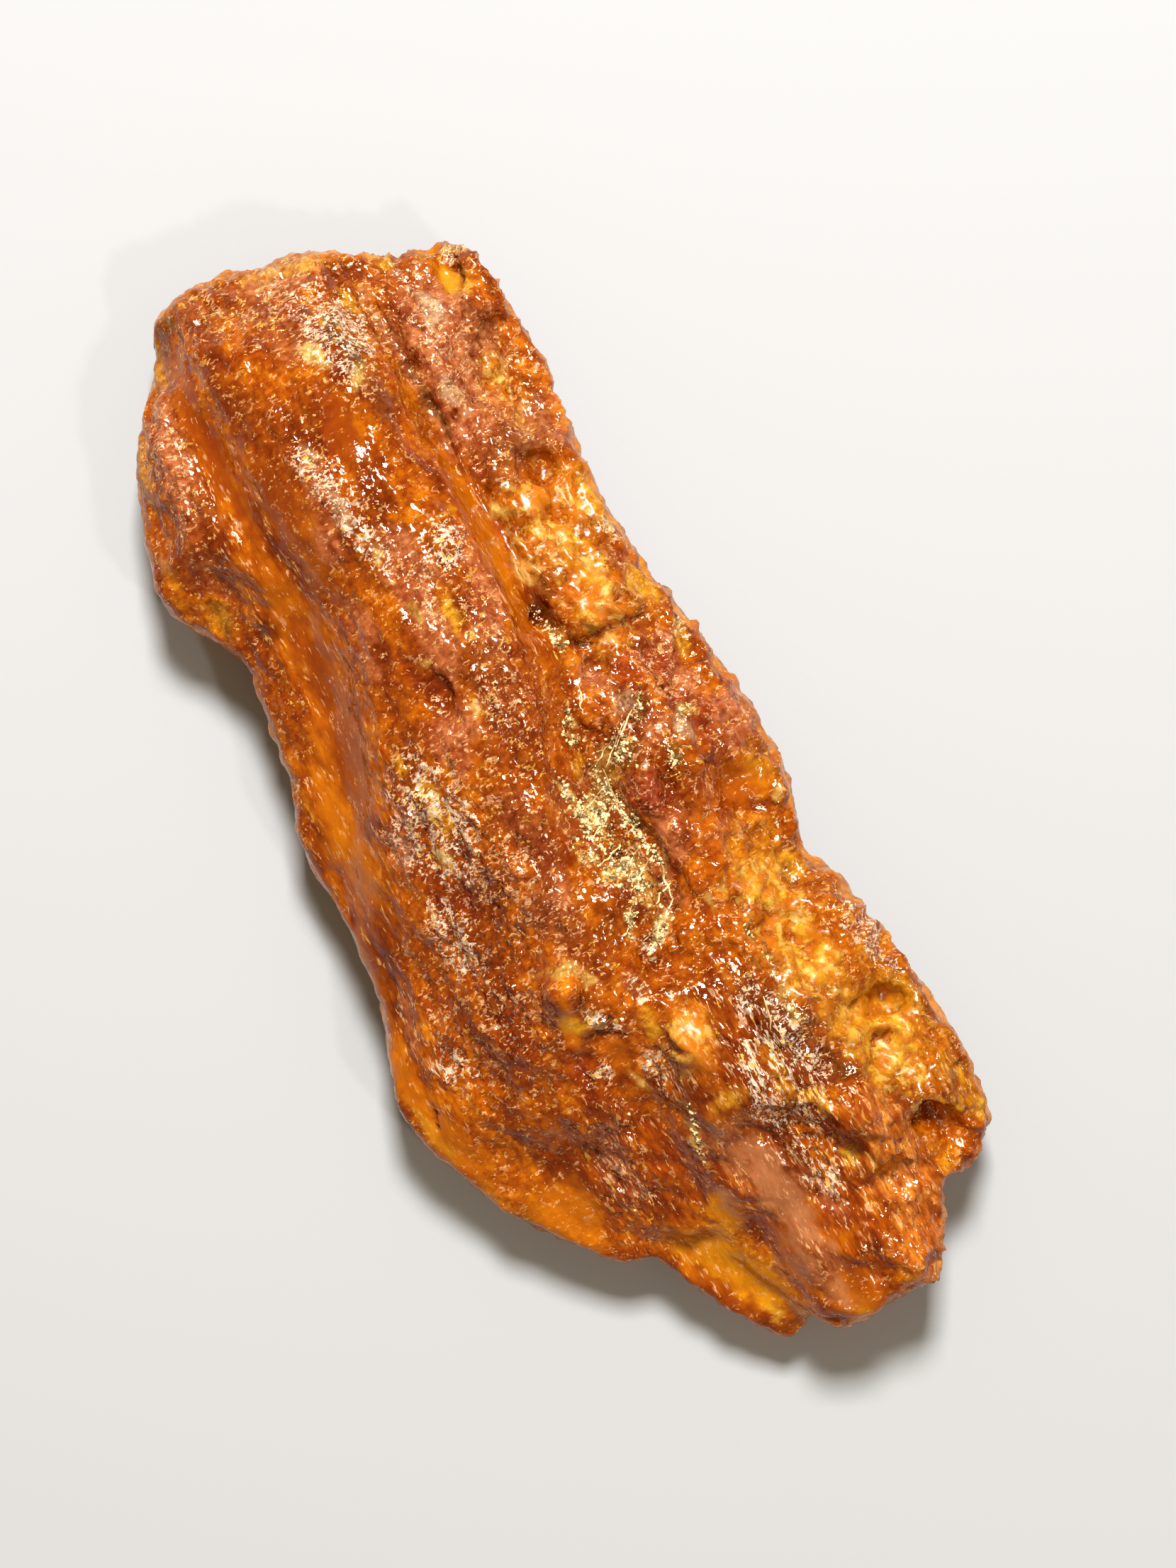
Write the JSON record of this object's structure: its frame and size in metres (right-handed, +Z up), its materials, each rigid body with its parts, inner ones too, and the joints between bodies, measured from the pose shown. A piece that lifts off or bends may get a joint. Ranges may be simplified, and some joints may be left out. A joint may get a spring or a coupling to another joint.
{
  "type": "raw copal",
  "caption": "Lump of raw copal, 71 mm long: translucent orange-brown resin with a smooth lobe, a pitted flank and a dusty crevice.",
  "frame": {"origin": "The middle of the lump's box in plan, on the surface that it rests on", "axes": "+X runs along the lump to its lobed end, +Y points to its pitted flank, +Z is up from the resting face"},
  "size_m": [0.071, 0.03, 0.014],
  "materials": {
    "resin": "smooth to frosted, glittering where it broke"
  },
  "bodies": {
    "root": {"raw_copal": "resin"}
  },
  "joints": []
}
